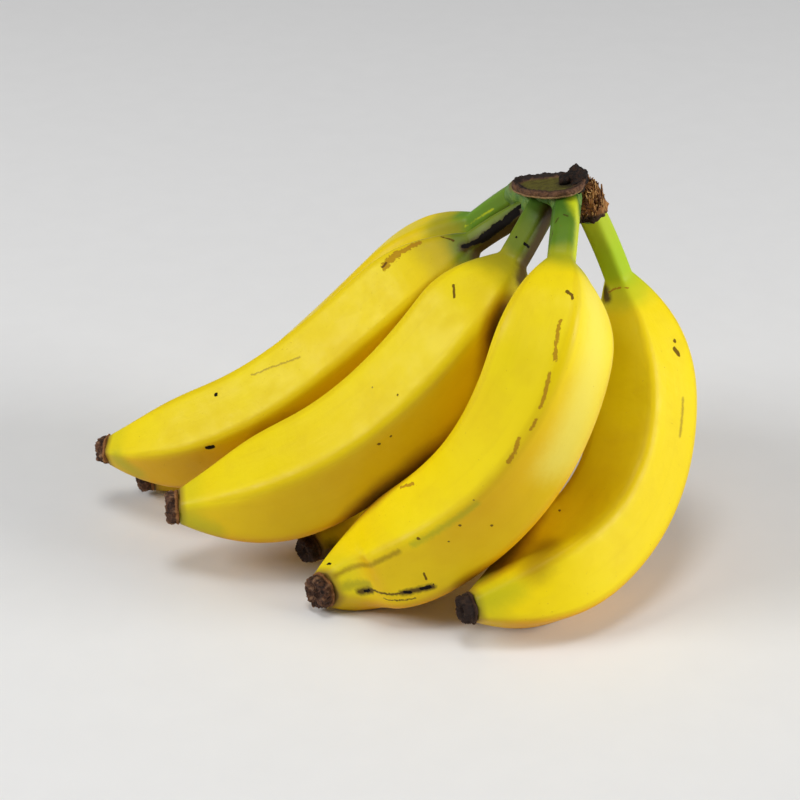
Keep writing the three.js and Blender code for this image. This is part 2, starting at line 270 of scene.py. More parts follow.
class Tree:
    """Short calls that add shader nodes."""

    def __init__(self, name):
        self.material = bpy.data.materials.new(name)
        self.material.use_nodes = True
        self.nodes = self.material.node_tree.nodes
        self.links = self.material.node_tree.links
        self.nodes.clear()
        self.shader = self.nodes.new("ShaderNodeBsdfPrincipled")
        output = self.nodes.new("ShaderNodeOutputMaterial")
        self.links.new(self.shader.outputs["BSDF"], output.inputs["Surface"])

    def put(self, socket, value):
        """Feeds a socket from another one or sets it, a colour also by its hex code."""
        if isinstance(value, bpy.types.NodeSocket):
            self.links.new(value, socket)
        elif socket.type == "RGBA":
            socket.default_value = (*(srgb(value) if isinstance(value, str) else value), 1)
        else:
            socket.default_value = value

    def attribute(self, name, vector=False):
        node = self.nodes.new("ShaderNodeAttribute")
        node.attribute_name = name
        return node.outputs["Vector" if vector else "Fac"]

    def place(self, scale=1000.0):
        """The place on the piece, in millimetres unless the scale says otherwise."""
        where = self.nodes.new("ShaderNodeTexCoord").outputs["Object"]
        return self.vector("SCALE", where, scale=scale)

    def math(self, operation, one, other=0.0):
        node = self.nodes.new("ShaderNodeMath")
        node.operation = operation
        self.put(node.inputs[0], one)
        self.put(node.inputs[1], other)
        return node.outputs[0]

    def plus(self, one, other, share):
        """One value plus a share of another."""
        return self.math("ADD", one, self.math("MULTIPLY", other, share))

    def sway(self, value, reach):
        """Swings about nothing with a noise, over the whole reach."""
        return self.math("MULTIPLY", self.math("SUBTRACT", value, 0.5), reach)

    def vector(self, operation, one, other=None, scale=None):
        node = self.nodes.new("ShaderNodeVectorMath")
        node.operation = operation
        self.put(node.inputs[0], one)
        if other is not None:
            self.put(node.inputs[1], other)
        if scale is not None:
            self.put(node.inputs["Scale"], scale)
        return node.outputs["Value" if operation in ("LENGTH", "DOT_PRODUCT") else "Vector"]

    def noise(self, where, scale, detail=3.0, rough=0.55, colour=False):
        node = self.nodes.new("ShaderNodeTexNoise")
        self.put(node.inputs["Vector"], where)
        node.inputs["Scale"].default_value = scale
        node.inputs["Detail"].default_value = detail
        node.inputs["Roughness"].default_value = rough
        return node.outputs["Color" if colour else "Fac"]

    def cells(self, where, scale, output="Distance"):
        node = self.nodes.new("ShaderNodeTexVoronoi")
        self.put(node.inputs["Vector"], where)
        node.inputs["Scale"].default_value = scale
        return node.outputs[output]

    def ramp(self, value, low, high, to_low=0.0, to_high=1.0, soft=True):
        node = self.nodes.new("ShaderNodeMapRange")
        node.interpolation_type = "SMOOTHSTEP" if soft else "LINEAR"
        self.put(node.inputs["Value"], value)
        self.put(node.inputs["From Min"], low)
        self.put(node.inputs["From Max"], high)
        self.put(node.inputs["To Min"], to_low)
        self.put(node.inputs["To Max"], to_high)
        return node.outputs["Result"]

    def mix(self, share, one, other):
        node = self.nodes.new("ShaderNodeMix")
        node.data_type = "RGBA"
        self.put(node.inputs["Factor"], share)
        self.put(node.inputs[6], one)
        self.put(node.inputs[7], other)
        return node.outputs[2]

    def split(self, vector):
        node = self.nodes.new("ShaderNodeSeparateXYZ")
        self.put(node.inputs[0], vector)
        return node.outputs

    def finish(self, colour, rough, specular, height, strength, distance):
        """Sets the shader, with relief of the given strength and depth in millimetres."""
        self.put(self.shader.inputs["Base Color"], colour)
        self.put(self.shader.inputs["Roughness"], rough)
        self.shader.inputs["Specular IOR Level"].default_value = specular
        node = self.nodes.new("ShaderNodeBump")
        node.inputs["Strength"].default_value = strength
        node.inputs["Distance"].default_value = distance * MM
        self.put(node.inputs["Height"], height)
        self.put(self.shader.inputs["Normal"], node.outputs["Normal"])
        return self.material


def srgb(text):
    """Linear colour of a six-digit hex code."""
    values = [int(text[place:place + 2], 16) / 255 for place in (0, 2, 4)]
    return tuple(v / 12.92 if v <= 0.04045 else ((v + 0.055) / 1.055) ** 2.4 for v in values)


# ---- Peel ----

def capsule_group():
    """A node group: how much a point lies within a stroke from A to B of half width R."""
    group = bpy.data.node_groups.new("stroke", "ShaderNodeTree")
    for name, kind in (("P", "Vector"), ("A", "Vector"), ("B", "Vector"), ("R", "Float"),
                       ("Soft", "Float")):
        group.interface.new_socket(name, in_out="INPUT", socket_type="NodeSocket" + kind)
    group.interface.new_socket("Mask", in_out="OUTPUT", socket_type="NodeSocketFloat")
    nodes, links = group.nodes, group.links
    source = nodes.new("NodeGroupInput")
    target = nodes.new("NodeGroupOutput")

    def vector(operation, one, other, scale=None):
        node = nodes.new("ShaderNodeVectorMath")
        node.operation = operation
        links.new(one, node.inputs[0])
        if other is not None:
            links.new(other, node.inputs[1])
        if scale is not None:
            links.new(scale, node.inputs["Scale"])
        return node

    def scalar(operation, one, other, clamp=False):
        node = nodes.new("ShaderNodeMath")
        node.operation = operation
        node.use_clamp = clamp
        links.new(one, node.inputs[0])
        links.new(other, node.inputs[1])
        return node.outputs[0]

    place, start, end, radius, soft = list(source.outputs)[:5]
    from_a = vector("SUBTRACT", place, start).outputs["Vector"]
    axis = vector("SUBTRACT", end, start).outputs["Vector"]
    dot = vector("DOT_PRODUCT", from_a, axis).outputs["Value"]
    square = vector("DOT_PRODUCT", axis, axis).outputs["Value"]
    share = scalar("DIVIDE", dot, square, clamp=True)
    foot = vector("SCALE", axis, None, share).outputs["Vector"]
    away = vector("SUBTRACT", from_a, foot).outputs["Vector"]
    distance = vector("LENGTH", away, None).outputs["Value"]
    inner = scalar("SUBTRACT", radius, soft)
    outer = scalar("ADD", radius, soft)
    step = nodes.new("ShaderNodeMapRange")
    step.interpolation_type = "SMOOTHSTEP"
    links.new(distance, step.inputs["Value"])
    links.new(inner, step.inputs["From Min"])
    links.new(outer, step.inputs["From Max"])
    step.inputs["To Min"].default_value = 1
    step.inputs["To Max"].default_value = 0
    links.new(step.outputs["Result"], target.inputs["Mask"])
    return group


STROKE = capsule_group()


def surface_spot(shape, along, around):
    """A place on the straightened fruit, in millimetres."""
    phase = math.radians(around)
    size = half_width(shape.fruit, np.array(float(along)), shape.length)
    radius = float(size * pentagon(np.array(phase), sharpness_at(np.array(float(along)),
                                                                  shape.length)))
    return (radius * math.cos(phase), radius * math.sin(phase), float(along))


PEEL_ROUGHNESS = (0.38, 0.50)
PEEL_SHINE = 0.18
SCAR_DULLNESS = 0.4       # how much rougher the shine of a scar is
# Depths of the peel's relief, in millimetres.
PORE_DEPTH = 0.02
FIBRE_DEPTH = 0.05
DENT_DEPTH = 0.5
SCAR_DEPTH = 0.12
# Specks: how many to a millimetre, their sizes as shares of that spacing, and the share of
# places left without one.
SPECKS = 0.09
SPECK_SIZES = (0.015, 0.045)
SPECK_FREE = 0.72

# Marks on each peel, as seen on the fruit: the kind, its half width in millimetres, and the
# places that it runs through, each as millimetres along the fruit and degrees round it.
MARKS = {
    "fruit_1": (
        # Painted highlight: a yellow line along the lit ridge of the neck.
        ("lime_highlight", 0.35, (25, 142), (9, 131)),
        ("olive", 3.5, (33, 180), (28, 150)),
    ),
    "fruit_2": (
        # The two wide umber strokes are painted shade on the neck's lower face.
        ("umber_mark_and_shade", 3.2, (3, 88), (14, 66), (26, 60)),
        ("umber_mark_and_shade", 2.2, (3, 130), (10, 116), (20, 108), (27, 122)),
        ("black", 0.7, (1, 158), (5, 146), (9, 133)),
        ("black", 1.0, (3, 132), (8, 118), (12, 108)),
        ("black", 1.7, (11, 121), (15, 113), (20, 107)),
        ("black", 0.9, (19, 107), (23, 114), (27, 127)),
        ("tan", 1.5, (53, 167), (50, 170), (47, 172)),
        ("tan", 1.0, (45, 173), (39, 177)),
        ("brown", 0.45, (54, 167), (52, 169)),
        ("brown", 0.35, (32, 181), (29, 161)),
        ("black", 0.8, (138, 162),),
        ("black", 0.8, (147, 102), (145, 101)),
        ("brown", 0.5, (169, 205),),
        ("faint", 0.35, (121, 163), (112, 157), (100, 145)),
        ("green", 3.5, (186, 90), (180, 60)),
    ),
    "fruit_3": (
        # The two umber strokes are painted shade on the right face of the neck and shoulder.
        ("umber_mark_and_shade", 3.5, (3, 15), (11, 348), (21, 343), (28, 5)),
        ("umber_mark_and_shade", 2.0, (30, 2), (42, 356), (56, 350)),
        ("black", 0.5, (17, 40), (17, 18)),
        ("black", 0.35, (16, 80),),
        ("brown", 0.4, (41, 88), (44, 77)),
        ("brown", 0.4, (80, 49),),
        ("brown", 0.5, (97, 23),),
        ("brown", 0.4, (92, 22),),
        ("green", 4.0, (181, 344), (170, 336)),
    ),
    "fruit_4": (
        # Painted highlight: the lit right face of the neck, in yellow-green.
        ("lime_highlight", 2.4, (2, 34), (10, 344), (22, 338)),
        ("brown", 0.45, (40, 48), (41, 42), (42, 41)),
        ("tan", 0.6, (48, 49), (53, 47), (57, 43)),
        ("tan", 0.6, (61, 43), (65, 40), (69, 38)),
        ("tan", 0.45, (73, 36), (76, 36)),
        ("tan", 0.7, (80, 40), (84, 37), (88, 35)),
        ("umber_mark_and_shade", 0.3, (8, 74), (9, 60)),
        ("umber_mark_and_shade", 0.25, (10, 96), (12, 107)),
        ("umber_mark_and_shade", 0.25, (15, 112), (18, 122)),
        # Painted highlight: a broad pale patch on the lit right face.
        ("cream_highlight", 7.0, (42, 0), (62, 352), (84, 346)),
        ("faint", 0.9, (184, 20), (172, 26), (158, 29), (148, 30)),
        ("green", 1.2, (141, 30), (124, 31), (108, 30)),
        ("olive", 1.6, (183, 345), (174, 352)),
        ("black", 0.5, (182, 76), (182, 66)),
        ("umber_mark_and_shade", 1.3, (179, 333), (174, 342)),
        ("umber_mark_and_shade", 0.5, (174, 343), (166, 345), (158, 343)),
        ("umber_mark_and_shade", 1.2, (158, 343), (152, 341), (147, 338)),
        ("black", 0.55, (177, 336), (175, 341)),
        ("black", 0.6, (157, 343), (155, 341)),
        ("black", 0.7, (151, 341), (148, 339)),
        ("umber_mark_and_shade", 0.3, (168, 337), (161, 335), (155, 333)),
        ("black", 0.3, (146, 340),),
        ("brown", 0.4, (146, 356), (147, 348)),
        ("brown", 0.7, (137, 33),),
        ("brown", 0.4, (129, 15),),
        ("brown", 0.5, (120, 23),),
        ("brown", 0.5, (114, 359),),
        ("tan", 0.6, (138, 100), (131, 95)),
    ),
    "fruit_5": (
        ("umber_mark_and_shade", 1.8, (30, 186), (33, 171)),
        ("tan", 0.35, (31, 166), (30, 141), (31, 104)),
        ("brown", 0.8, (55, 59),),
        ("brown", 1.0, (58, 64), (60, 60)),
        ("faint", 0.6, (76, 62), (89, 63)),
        ("green", 4.5, (187, 95), (177, 97)),
        ("faint", 5.0, (168, 111), (160, 125)),
        ("brown", 0.5, (155, 178),),
        ("brown", 0.5, (141, 162),),
    ),
    "fruit_6": (
        # Painted shade on the tip, which lies under the fruits above it.
        ("umber_mark_and_shade", 4.0, (191, 335), (189, 19)),
    ),
}
# Kinds of mark, from the bottom layer up: colour, strength, softness as a share of the half
# width, and how far its edge wanders, in millimetres.
MARK_KINDS = {
    "green": ("A9AC1E", 0.5, 0.9, 3.0),
    "olive": ("A39A1E", 0.7, 0.9, 3.0),
    # painted highlight on green necks
    "lime_highlight": ("D2DA1E", 0.8, 0.9, 1.5),
    # painted highlight
    "cream_highlight": ("F8EC70", 0.55, 0.9, 4.0),
    "faint": ("94700F", 0.65, 0.9, 1.6),
    # dark brown marks on some fruits, and painted shade on shaded faces on others
    "umber_mark_and_shade": ("3E2408", 0.92, 0.7, 2.0),
    "tan": ("AA6E18", 0.75, 0.9, 1.4),
    "brown": ("5E3810", 0.9, 0.8, 1.0),
    "black": ("0E0805", 1.0, 0.6, 1.4),
}
# The kinds that scar the skin, how much each breaks up into blotches, and how much of the
# mask makes a scar's edge.
SCARS = {"tan": 2.2, "brown": 0.9, "black": 0.9}
SCAR_EDGE = (0.38, 0.62)
# Colours of each neck at the crown, half way and where the green ends, and that place in
# millimetres along the fruit.
NECK_GREENS = {
    "fruit_1": ("6A8A28", "6A9426", "B5AC1E", 34),
    "fruit_2": ("62781E", "70801C", "CDB418", 36),
    "fruit_3": ("42681E", "6E7E1C", "A0961A", 27),
    "fruit_4": ("40661C", "5C7E1E", "98A01C", 26),
    "fruit_5": ("B4C626", "A9C61C", "C6C81A", 33),
    "fruit_6": ("4C7A34", "6A8C30", "A8A424", 30),
}
NECK_WOBBLE = 9.0         # how far the ends of those colours wander, in millimetres


def stroke_mask(tree, shape, where, strokes, softness):
    """The union of strokes, each a half width and the places that it runs through."""
    total = None
    for width, *line in strokes:
        spots = [surface_spot(shape, *place) for place in line]
        if len(spots) == 1:
            spots.append(tuple(np.array(spots[0]) + (0, 0, 0.1)))
        for one, other in zip(spots, spots[1:]):
            node = tree.nodes.new("ShaderNodeGroup")
            node.node_tree = STROKE
            tree.put(node.inputs["P"], where)
            node.inputs["A"].default_value = tuple(one)
            node.inputs["B"].default_value = tuple(other)
            node.inputs["R"].default_value = width
            node.inputs["Soft"].default_value = width * softness
            mask = node.outputs["Mask"]
            total = mask if total is None else tree.math("MAXIMUM", total, mask)
    return total


def add_marks(tree, node, shape, straight, shifted, colour):
    """Lays each kind of mark over the colour. The scars among them also stand out in relief."""
    wander = tree.vector("SUBTRACT", tree.noise(shifted, 0.6, 4.0, 0.7, colour=True),
                         (0.5, 0.5, 0.5))
    blotch = tree.math("SUBTRACT", tree.noise(shifted, 1.1, 4.0, 0.6), 0.5)
    scar = None
    for kind, (hexcode, strength, softness, reach) in MARK_KINDS.items():
        strokes = [mark[1:] for mark in MARKS[node] if mark[0] == kind]
        if not strokes:
            continue
        where = tree.vector("ADD", straight, tree.vector("SCALE", wander, scale=reach))
        mask = stroke_mask(tree, shape, where, strokes, softness)
        if kind in SCARS:
            mask = tree.ramp(tree.plus(mask, blotch, SCARS[kind]), *SCAR_EDGE)
        colour = tree.mix(tree.math("MULTIPLY", mask, strength), colour, hexcode)
        if kind in SCARS:
            scar = mask if scar is None else tree.math("MAXIMUM", scar, mask)
    return colour, scar


def neck_colours(tree, node, along, patch, colour):
    """Green from the crown, through its halfway colour, to the yellow of the body."""
    at_crown, halfway, at_end, end = NECK_GREENS[node]
    place = tree.math("ADD", along, tree.sway(patch, NECK_WOBBLE))
    colour = tree.mix(tree.ramp(place, end + 9, end - 1, 0, 0.9), colour, at_end)
    colour = tree.mix(tree.ramp(place, end, end - 8), colour, halfway)
    return tree.mix(tree.ramp(place, end * 0.6, 1), colour, at_crown)


def peel_material(node, shape, seed):
    """Yellow peel with a green neck, its stains, specks and marks, painted shade and painted
    highlights, and a waxy relief.
    """
    tree = Tree("peel_" + node)
    straight = tree.attribute("straight", vector=True)
    from_tip = tree.attribute("from_tip")
    ridge = tree.attribute("ridge")
    under = tree.attribute("under")
    shifted = tree.vector("ADD", straight, (seed * 131.0, seed * 71.0, 0.0))
    along = tree.split(straight)[2]

    broad = tree.noise(shifted, 0.02, 2.0)
    patch = tree.noise(shifted, 0.06, 3.0)
    long_way = tree.vector("MULTIPLY", shifted, (1.0, 1.0, 0.06))
    streak = tree.noise(long_way, 0.45, 2.0)

    colour = tree.mix(tree.ramp(broad, 0.3, 0.7), "F2D606", "F6DE0C")
    colour = tree.mix(tree.ramp(patch, 0.45, 0.75, 0.0, 0.4), colour, "E6C60A")
    colour = tree.mix(tree.ramp(streak, 0.5, 0.85, 0.0, 0.18), colour, "DDBE0C")
    colour = tree.mix(tree.ramp(ridge, 0.86, 1.0, 0, 0.22), colour, "C79A10")
    # Painted shade: darker gold on the downward-facing side of the peel.
    colour = tree.mix(tree.math("MULTIPLY", under, 0.85), colour, "DC9A02")
    # Painted shade: gold, then dark brown, in the crevices between fruits.
    crevice_shade = tree.math("ADD", tree.attribute("crevice_shade"), tree.sway(patch, 0.5))
    colour = tree.mix(tree.ramp(crevice_shade, 0.15, 1.0, 0, 0.85), colour, "A87208")
    colour = tree.mix(tree.ramp(crevice_shade, 0.75, 1.1, 0, 0.8), colour, "5A3A0C")
    colour = neck_colours(tree, node, along, patch, colour)

    # A greenish tint towards the blossom end, and a thin brown edge where the remnant joins.
    edge = tree.math("ADD", from_tip, tree.sway(patch, 2.0))
    colour = tree.mix(tree.ramp(edge, 14, 4, 0, 0.35), colour, "C2BE1C")
    colour = tree.mix(tree.ramp(edge, 3.5, 0.3, 0, 0.7), colour, "86602A")
    colour = tree.mix(tree.ramp(edge, 0.9, 0.1, 0, 0.7), colour, "4A3020")

    # Sparse pin-prick specks.
    speck = tree.cells(shifted, SPECKS)
    chance = tree.split(tree.cells(shifted, SPECKS, output="Color"))
    size = tree.ramp(chance[1], 0.0, 1.0, *SPECK_SIZES, soft=False)
    dot = tree.math("MULTIPLY", tree.math("LESS_THAN", speck, size),
                    tree.math("GREATER_THAN", chance[0], SPECK_FREE))
    dot = tree.math("MULTIPLY", dot, tree.ramp(along, 30, 45, 0, 0.7))
    colour = tree.mix(dot, colour, "6E4A16")

    colour, scar = add_marks(tree, node, shape, straight, shifted, colour)
    rough = tree.ramp(tree.noise(shifted, 0.12, 3.0), 0.3, 0.7, *PEEL_ROUGHNESS)
    pores = tree.noise(shifted, 2.2, 2.0)
    fibre = tree.noise(long_way, 0.9, 4.0, 0.6)
    dents = tree.noise(shifted, 0.09, 3.0, 0.5)
    height = tree.plus(tree.math("MULTIPLY", pores, PORE_DEPTH), fibre, FIBRE_DEPTH)
    height = tree.plus(height, dents, DENT_DEPTH)
    if scar is not None:
        rough = tree.plus(rough, scar, SCAR_DULLNESS)
        height = tree.plus(height, scar, -SCAR_DEPTH)
    return tree.finish(colour, rough, PEEL_SHINE, height, 0.9, 1.0)


# ---- Pieces ----

def finish_piece(piece, node, material):
    """Dresses a piece, and has it stand for a node of the solids."""
    piece.data.materials.clear()
    piece.data.materials.append(material)
    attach(piece, "root")
    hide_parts(node)


SHAPES = {}
PEELS = []
for number, (node, fruit) in enumerate(FRUITS.items(), 1):
    peel, SHAPES[node] = build_fruit(node, fruit)
    finish_piece(peel, node, peel_material(node, SHAPES[node], number))
    PEELS.append(peel)
paint_crevice_shade(PEELS)


# ---- Blossom ends ----

END_LENGTH = 4.8
# The outline of a remnant from the peel outwards, then into its sunken face: shares of its
# length and of the tip's half width.
END_OUTLINE = ((0, 0.94), (0.05, 1.04), (0.14, 1.10), (0.24, 1.07), (0.3, 1.0), (0.42, 1.02),
               (0.56, 1.04), (0.7, 1.0), (0.84, 0.96), (0.94, 0.88), (1.0, 0.76), (0.95, 0.62),
               (0.84, 0.5), (0.76, 0.38), (0.8, 0.26), (0.93, 0.17), (0.96, 0.06))
END_ROWS = 49
END_SIDES = 96
# How dark each remnant is, from 0, tan, to 1, nearly black.
END_DARKNESS = (0.2, 0.0, 0.1, 0.2, 0.9, 0.8)
DRY_SHINE = 0.3           # of all that is dried


def dried_material(name, dark):
    """Shrivelled brown tissue with a tan collar where it meets the peel, a painted highlight on
    its raised parts and painted shade in its hollows.
    """
    tree = Tree(name)
    place = tree.place()
    grain = tree.noise(place, 0.7, 5.0, 0.65)
    fine = tree.noise(place, 2.6, 4.0, 0.6)
    raised = tree.attribute("raised")
    share = tree.attribute("share")
    colour = tree.mix(tree.ramp(grain, 0.35, 0.65), "2A1810", "6B4630")
    # Painted highlight on the raised parts, and painted shade in the hollows.
    colour = tree.mix(tree.ramp(raised, 0.5, 0.85, 0, 0.75), colour, "A37C5C")
    colour = tree.mix(tree.ramp(raised, 0.42, 0.2, 0, 0.85), colour, "140B07")
    collar = tree.math("MULTIPLY", tree.ramp(share, 0.34, 0.22), tree.ramp(fine, 0.3, 0.6, 0.5, 1))
    colour = tree.mix(tree.math("MULTIPLY", collar, 0.8), colour, "A8703A")
    colour = tree.mix(tree.ramp(fine, 0.6, 0.75, 0, 0.4), colour, "B89A7C")
    colour = tree.mix(dark, colour, "1C0E08")
    return tree.finish(colour, 0.8, DRY_SHINE, tree.plus(grain, fine, 0.4), 0.9, 0.5)


def fractal(point, scale):
    """Fractal noise of about -1 to 1, in four octaves."""
    return noise.fractal(Vector(point) * scale, 1.0, 2.0, 4)


def build_end(node, shape, seed):
    """The dried remnant of the flower, rougher the further it is from the peel."""
    tangent, sideways, outward = shape.tangent[-1], shape.sideways[-1], shape.outward[-1]
    tip = shape.fruit["tip"]
    shares, widths = rows_between(END_OUTLINE, END_ROWS)[1:]
    points, raised, along = [], [], []
    for row, (share, width) in enumerate(zip(shares, widths)):
        roughen = min(1.0, row / 6)
        for side in range(END_SIDES):
            angle = side * 2 * math.pi / END_SIDES
            ray = math.cos(angle) * outward + math.sin(angle) * sideways
            seat = shape.centre[-1] + tangent * share * END_LENGTH + ray * tip * width
            lump = fractal(seat + (seed * 17, 0, 0), 0.42)
            crease = fractal((math.cos(angle) * 5, math.sin(angle) * 5, share * 2 + seed * 9), 1.0)
            lobes = 0.04 * math.cos(FACES * (angle - shape.turn[-1]))
            grow = tip * width * (lobes + roughen * (0.10 * lump + 0.07 * crease))
            lift = roughen * (0.45 * lump + 0.5 * crease) * share
            points.append(seat + ray * grow + tangent * lift)
            raised.append(0.5 + 0.6 * (lump + crease) / 2)
            along.append(share)
    piece = new_object(node + "_remnant", np.array(points) * MM,
                       closed_tube(END_ROWS, END_SIDES))
    smooth(piece)
    store(piece, "raised", "FLOAT", raised)
    store(piece, "share", "FLOAT", along)
    return piece


for number, (node, shape) in enumerate(SHAPES.items(), 1):
    end = "blossom_end_%d" % number
    dried = dried_material("dried_" + end, END_DARKNESS[number - 1])
    finish_piece(build_end(end, shape, number), end, dried)


# ---- Crown ----

FLESH_SHINE = 0.5
CAP_SHINE = 0.35
# The measures are in millimetres, as in the solids.
FLESH_VOXEL = 0.5
KNOB_VOXEL = 0.22
CAP_OUTLINE = ((44, 14), (46.5, 6), (51, -1), (56, -6), (62, -8), (66, -5), (67.5, 2),
               (66, 9), (60, 13), (52, 17), (46, 18))
CAP_CENTRE = (56, 4)
CAP_TOP = 142
CAP_SLOPE = (0.24, -0.12)         # rise of the cut face per millimetre of x and of y
# The cap's section from under its rim, round the rim and in over the cut face: share of the
# outline, and millimetres above the cut face's plane.
CAP_SECTION = ((0.80, -3.2), (0.93, -3.1), (1.00, -2.9), (1.03, -2.5), (1.02, -2.1),
               (1.05, -1.6), (1.05, -1.0), (1.03, -0.3), (1.00, 0.15), (0.95, 0.25),
               (0.90, 0.0), (0.84, -0.45), (0.78, -0.8), (0.70, -0.95), (0.55, -1.0),
               (0.38, -1.0), (0.20, -1.0), (0.06, -1.0))
# Places along that section, counted in its rows.
SEAM_START = (1.2, 2.6)
SEAM_END = (4.2, 3.0)
LIP_START = (6.6, 8.6)
LIP_END = (12.0, 10.6)
LIP_ROW = 9
FLANK_ROWS = 11                   # rows of the outer side, which is rougher than the face
FACE_START = (11.2, 12.8)
CAP_COVER = 2.0                   # thickness of the cap over the flesh
CAP_ROWS = 69
CAP_POINTS = 240
# Where each neck's stub ends inside the crown.
STUBS = {"fruit_1": (49, 21, 132), "fruit_2": (53, 9, 136), "fruit_3": (57, 9, 137),
         "fruit_4": (61, 5, 138), "fruit_5": (68, 10, 135), "fruit_6": (60, 11, 137)}
# How wide a stub is, in half widths of its neck, by share of its length. It starts inside the
# neck and comes out through the skin at the neck's root.
STUB_WIDTHS = ((0, 0.8), (0.35, 1.14), (0.6, 1.26), (1, 1.35))
STUB_START = 3.0
STUB_BEND = 4.0
# Lumps of flesh between the stubs: centre and half sizes.
CORES = (((58, 10, 136), (8, 7.5, 4.5)), ((48, 21, 132), (5.5, 8, 4.5)),
         ((65, 10, 135.5), (5, 6.5, 5)))
# The dried knob is a few lumps, each a centre and a radius. The cut face is dark round it:
# the centre of that, and the distances where it starts and is full.
KNOB = (((65.4, 4, 144.0), 4.0), ((61.6, 3.2, 143.4), 2.8), ((65.6, -0.6, 142.8), 2.4),
        ((64.6, 4.5, 146.3), 2.2))
KNOB_SHADOW = ((65.0, 3.0, 144.0), 10.5, 6.5)
# The torn end: its top and bottom, and its half width by share of its length.
TORN_FROM = np.array((68.0, 5.5, 140.8))
TORN_TO = np.array((71.2, 13.5, 128.0))
TORN_WIDTHS = ((0, 1.0), (0.05, 2.4), (0.2, 3.9), (0.45, 5.2), (0.7, 5.9), (0.86, 6.0),
               (0.93, 6.5), (1.0, 5.8))
TORN_ROWS = 60
TORN_SIDES = 110
TORN_DARK = (131.0, 129.0)        # heights between which its bottom turns dark
# Browned flesh: millimetres under the cut face where it fades, and its centre beside the torn
# end with the distances where it starts and is full.
CUT_BROWNING = (4.6, 3.2)
TORN_BROWNING = ((69.0, 8.0, 136.0), 10.5, 8.5)
STRANDS = 420
STRAND_LENGTHS = (2.0, 5.5)
STRAND_RADII = (0.15, 0.42)


def cap_height(x, y):
    """Height of the cut face's plane."""
    return CAP_TOP + CAP_SLOPE[0] * (x - CAP_CENTRE[0]) + CAP_SLOPE[1] * (y - CAP_CENTRE[1])


def closed_curve(points, count):
    """Evenly numbered points of a smooth closed curve through the given ones."""
    points = np.array(points, float)
    place = np.arange(count) * len(points) / count
    index = place.astype(int)
    t = (place - index)[:, None]
    a, b, c, d = (points[(index + step) % len(points)] for step in (-1, 0, 1, 2))
    return 0.5 * (2 * b + (c - a) * t + (2 * a - 5 * b + 4 * c - d) * t ** 2
                  + (3 * b - a - 3 * c + d) * t ** 3)


def ring_points(centre, direction, radius, sides):
    """A circle of points square to a direction."""
    axis = Vector(direction).normalized()
    side = axis.orthogonal().normalized()
    front = axis.cross(side)
    angles = np.arange(sides) * 2 * math.pi / sides
    return (np.array(centre) + radius * (np.cos(angles)[:, None] * np.array(side)
                                         + np.sin(angles)[:, None] * np.array(front)))


class Parts:
    """Gathers closed bodies for one mesh."""

    def __init__(self):
        self.points, self.faces, self.values = [], [], []

    def tube(self, centres, radii, sides, value=0.0):
        centres = np.array(centres, float)
        directions = np.gradient(centres, axis=0)
        first = len(self.points)
        for centre, direction, radius in zip(centres, directions, radii):
            self.points.extend(ring_points(centre, direction, radius, sides))
        self.values.extend([value] * (len(centres) * sides))
        self.faces.extend(closed_tube(len(centres), sides, first))

    def ball(self, centre, radii, rows=24, sides=40):
        """Rings from pole to pole, which keeps the body closed without single-point fans."""
        tilt = np.linspace(0.04, math.pi - 0.04, rows)
        first = len(self.points)
        angles = np.arange(sides) * 2 * math.pi / sides
        for turn in tilt:
            ring = np.stack([math.sin(turn) * np.cos(angles), math.sin(turn) * np.sin(angles),
                             np.full(sides, -math.cos(turn))], axis=-1)
            self.points.extend(np.array(centre) + ring * np.array(radii))
        self.values.extend([0.0] * (rows * sides))
        self.faces.extend(closed_tube(rows, sides, first))

    def make(self, name):
        piece = new_object(name, np.array(self.points) * MM, self.faces)
        smooth(piece)
        return piece


def remeshed(piece, voxel, relaxing):
    """Joins a piece's bodies into one skin."""
    remesh = piece.modifiers.new("remesh", "REMESH")
    remesh.mode = "VOXEL"
    remesh.voxel_size = voxel * MM
    relax = piece.modifiers.new("relax", "SMOOTH")
    relax.factor = 0.5
    relax.iterations = relaxing
    depsgraph = bpy.context.evaluated_depsgraph_get()
    done = bpy.data.meshes.new_from_object(piece.evaluated_get(depsgraph))
    piece.modifiers.clear()
    piece.data = done
    smooth(piece)
    return piece


def build_crown_body():
    """The green flesh that the necks grow from."""
    parts = Parts()
    for node, shape in SHAPES.items():
        root = shape.path[0]
        back = unit(shape.path[0] - shape.path[1])
        start = root - STUB_START * back
        bend = root + STUB_BEND * back
        stub = np.array(STUBS[node], float)
        t = np.linspace(0, 1, 13)[:, None]
        line = (1 - t) ** 2 * start + 2 * (1 - t) * t * bend + t ** 2 * stub
        radii = np.interp(t[:, 0], *zip(*STUB_WIDTHS)) * shape.fruit["neck"]
        parts.tube(line, radii, 28)
    for centre, radii in CORES:
        parts.ball(centre, radii)
    piece = remeshed(parts.make("crown_body"), FLESH_VOXEL, 6)
    for vertex in piece.data.vertices:
        x, y, z = vertex.co / MM
        vertex.co.z = min(z, cap_height(x, y) - CAP_COVER) * MM
    return piece


